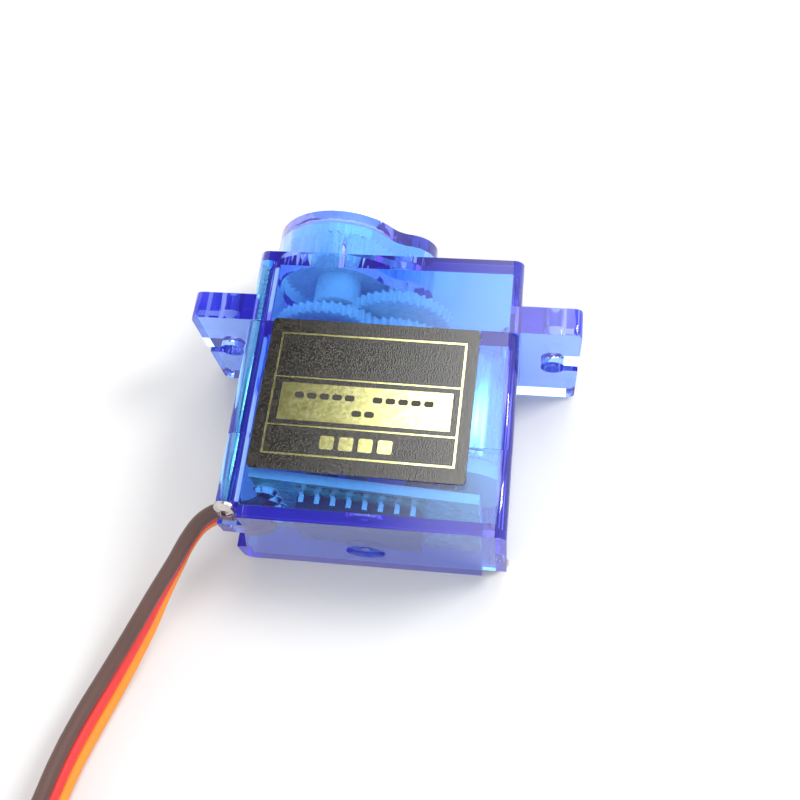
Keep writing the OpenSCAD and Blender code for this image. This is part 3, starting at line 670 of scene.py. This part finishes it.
def add_board_pads():
    """Tinned pads round the soldered wires, and copper tracks from them towards the chip."""
    low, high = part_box("circuit_board")
    middle = (low + high) / 2
    lean = math.atan2(high.y - low.y - BOARD_T * MM, high.x - low.x)
    along = Vector((math.cos(lean), -math.sin(lean), 0))
    out = Vector((math.sin(lean), math.cos(lean), 0))
    face = BOARD_T / 2 + PAD_GAP

    def on_board(side):
        def place(x, y, z):
            return middle + (x * along + y * Vector((0, 0, 1)) + side * (face + z) * out) * MM
        return place

    def local(point):
        offset = (point - middle) / MM
        return offset.dot(along), offset.z, 1 if offset.dot(out) > 0 else -1

    def pads(shape):
        for point in islands("solder_joints"):
            x, z, side = local(point)
            hole, rim = LEAD_PAD if x < PAD_SPLIT else WIRE_PAD

            def place(u, v, h, x=x, z=z, side=side):
                return on_board(side)(x + u, z + v, h)

            add_lathe(shape, place, ((hole, 0), (rim, 0), (rim - PAD_T, PAD_T), (hole, PAD_T)))

    def tracks(shape):
        for point in islands("solder_joints"):
            x, z, side = local(point)
            if side < 0:
                reach = TRACK_END - x
                add_plate(shape, on_board(side), (x + reach / 2, z), (reach, 0.4), TRACK_T, 0.1)
        for row in (-1, 1):
            for k in range(-3, 5, 2):
                at = (CHIP_X + (k - 0.5) * LEG_PITCH, row * LEG_ROW)
                add_plate(shape, on_board(-1), at, (0.35, 0.9), TRACK_T, 0.08)
            add_plate(shape, on_board(-1), (CHIP_X + 1, row * LEG_RAIL), (9.5, 0.35), TRACK_T, 0.1)

    mesh_object("solder_pads", pads, "tinned_metal")
    mesh_object("copper_tracks", tracks, "brush_copper")


CHIP_T = 1.3
# From the chip's corner to the middle of the mark, in millimetres
MARK_IN = (1.2, 0.9)


def add_chip_dot():
    """Shallow ring that marks the chip's first leg."""
    low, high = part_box("control_chip")
    corner = Vector((low.x, low.y, low.z))
    slope = (high.y - low.y - CHIP_T * MM) / (high.x - low.x)

    def ring(shape):
        def place(x, y, z):
            at = corner + Vector((MARK_IN[0] + x, -z - 0.005, MARK_IN[1] + y)) * MM
            at.y += slope * (high.x - at.x)
            return at
        add_lathe(shape, place, ((0.26, -0.02), (0.4, -0.02), (0.38, 0.03), (0.28, 0.03)))

    mesh_object("chip_mark", ring, "resistor_black")


PLUG_PITCH = 2.54
# Middle of the tongues and of the ridges behind them, in millimetres from the housing's middle
TONGUE_Y, RIDGE_Y = 1.5, -0.4


def add_connector_tongues():
    """Sprung tongue over each contact, standing a little proud of the housing."""
    low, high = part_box("connector_housing")
    middle = (low + high) / 2

    def tongues(shape):
        for k in (-1, 0, 1):
            def place(x, y, z, k=k):
                return Vector((middle.x, middle.y, high.z)) + Vector((k * PLUG_PITCH + x, y, z)) * MM
            add_plate(shape, place, (0, TONGUE_Y), (1.1, 3.0), 0.14, 0.2)
            add_plate(shape, place, (0, RIDGE_Y), (1.5, 0.4), 0.08, 0.1)

    mesh_object("connector_tongues", tongues, "connector_plastic")


RIB_PITCH = 0.5
RIB_SIZE = (0.22, 2.4)
LOCK_SIZE = (1.8, 3.6)


def add_tie_ribs():
    """Fine ribs across the tie band and its small lock."""
    low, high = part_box("coil_tie")
    middle = (low + high) / 2
    half = (high.x - low.x) / 2 / MM

    def ribs(shape):
        def place(x, y, z):
            return Vector((middle.x, middle.y, high.z)) + Vector((x, y, z)) * MM
        for k in range(int(2 * half / RIB_PITCH)):
            add_plate(shape, place, (-half + 0.3 + k * RIB_PITCH, 0), RIB_SIZE, 0.07, 0.05)
        add_plate(shape, place, (-half + 1.1, 0), LOCK_SIZE, 0.9, 0.4)

    mesh_object("tie_ribs", ribs, "tie_plastic")


# ---------- build ----------

add_camera()
add_lead()
add_surroundings()
finish_nodes()
add_label_print()
add_board_pads()
add_chip_dot()
